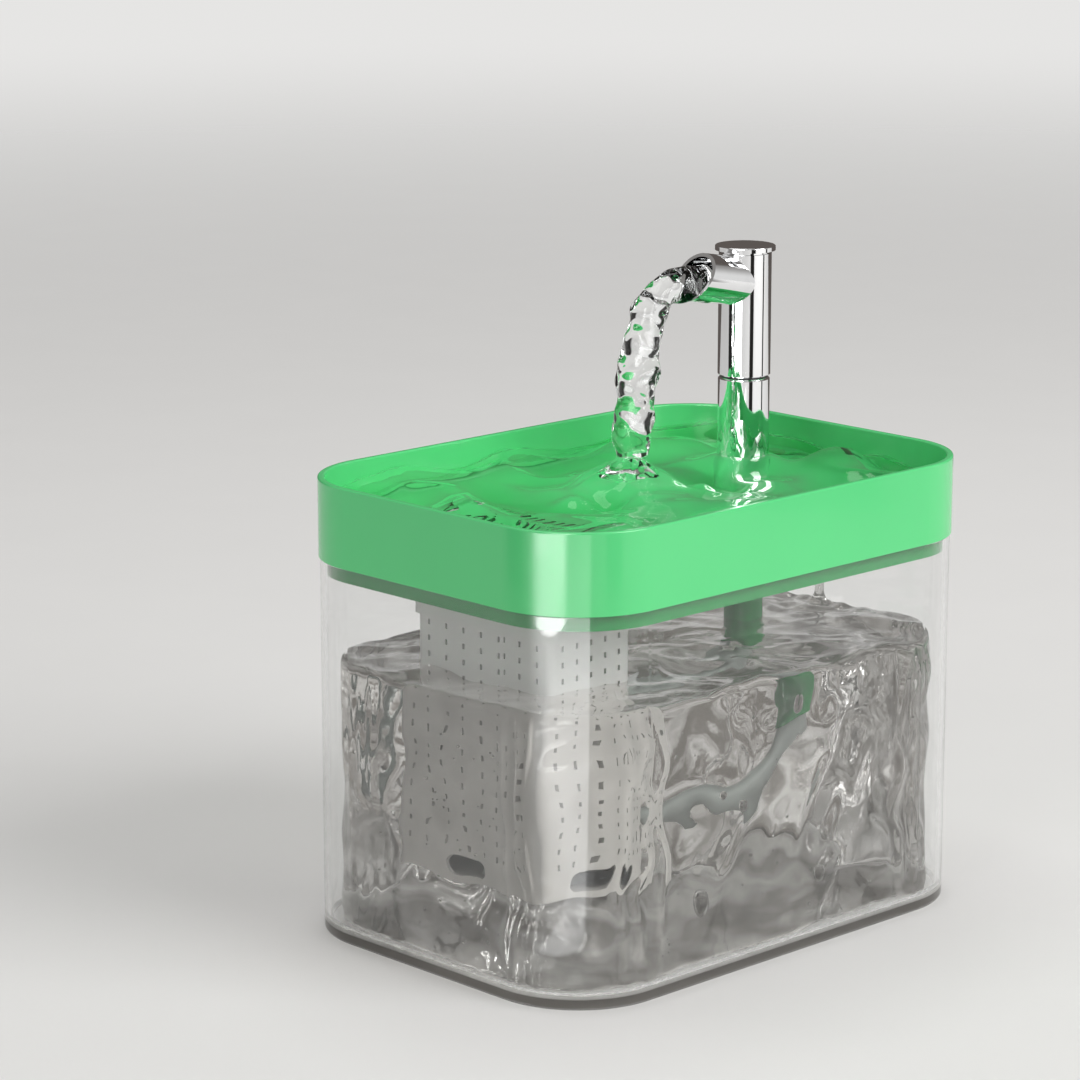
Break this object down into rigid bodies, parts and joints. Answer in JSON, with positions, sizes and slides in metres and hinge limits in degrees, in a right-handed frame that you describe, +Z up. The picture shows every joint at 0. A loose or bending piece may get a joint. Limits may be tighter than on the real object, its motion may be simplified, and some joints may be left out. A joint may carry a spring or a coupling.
{
  "type": "pet water fountain",
  "caption": "Clear tank with a green drinking tray on its rim, a chrome swivelling faucet, and a perforated filter box with a submersible pump hung under the tray.",
  "frame": {"origin": "centre of the tank's flat underside", "axes": "+Z up, +X along the long side towards the faucet's end, so the spout points to -X at rest; +Y along the short side"},
  "size_m": [0.19, 0.1362, 0.2151],
  "materials": {
    "clear_tank": "clear, glossy",
    "green_plastic": "glossy moulded plastic",
    "chrome": "mirror-bright plating",
    "white_plastic": "satin moulded plastic",
    "filter_cotton": "matted fibre",
    "carbon": "granular",
    "black_rubber": "matte",
    "clear_silicone": "clear, soft",
    "pump_plastic": "fine grained moulding",
    "steel_shaft": "ground",
    "impeller_plastic": "moulded",
    "magnet": "sintered",
    "water": "clear moving water, shown by the visual model only"
  },
  "bodies": {
    "tank": {"tank": "clear_tank", "cable_grommet": "black_rubber"},
    "tray_unit": {"tray": "green_plastic", "riser_tube": "green_plastic", "hose": "clear_silicone", "filter_box": "white_plastic", "pump_body": "pump_plastic", "pump_cover": "pump_plastic", "pump_nozzle": "pump_plastic", "pump_shaft": "steel_shaft", "shaft_bushes": "black_rubber", "suction_cups": "clear_silicone", "cable_gland": "black_rubber"},
    "filter_pack": {"filter_cassette": "white_plastic", "filter_carbon": "carbon", "filter_cotton": "filter_cotton", "strainer_cover": "green_plastic"},
    "flow_slider": {"flow_slider": "pump_plastic"},
    "impeller": {"impeller": "impeller_plastic", "rotor_magnet": "magnet"},
    "faucet": {"faucet_column": "chrome", "plug_seals": "black_rubber", "neck_seal": "black_rubber", "swivel_ring": "black_rubber"},
    "faucet_head": {"faucet_head": "chrome", "faucet_spout": "chrome", "faucet_cap": "chrome"}
  },
  "joints": [
    {"name": "tray_lift", "type": "slide", "parent": "tank", "child": "tray_unit", "axis": [0, 0, 1], "range_m": [0, 0.135]},
    {"name": "filter_lift", "type": "slide", "parent": "tray_unit", "child": "filter_pack", "axis": [0, 0, 1], "range_m": [0, 0.075]},
    {"name": "flow_adjust", "type": "slide", "parent": "tray_unit", "child": "flow_slider", "axis": [0, 0, 1], "range_m": [0, 0.007]},
    {"name": "impeller_spin", "type": "hinge", "parent": "tray_unit", "child": "impeller", "pos_m": [-0.051, 0, 0.0469], "axis": [0, 1, 0], "continuous": true},
    {"name": "faucet_pull", "type": "slide", "parent": "tray_unit", "child": "faucet", "axis": [0, 0, 1], "range_m": [0, 0.03]},
    {"name": "faucet_swivel", "type": "hinge", "parent": "faucet", "child": "faucet_head", "pos_m": [0.0485, 0, 0.17165], "axis": [0, 0, 1], "continuous": true}
  ]
}
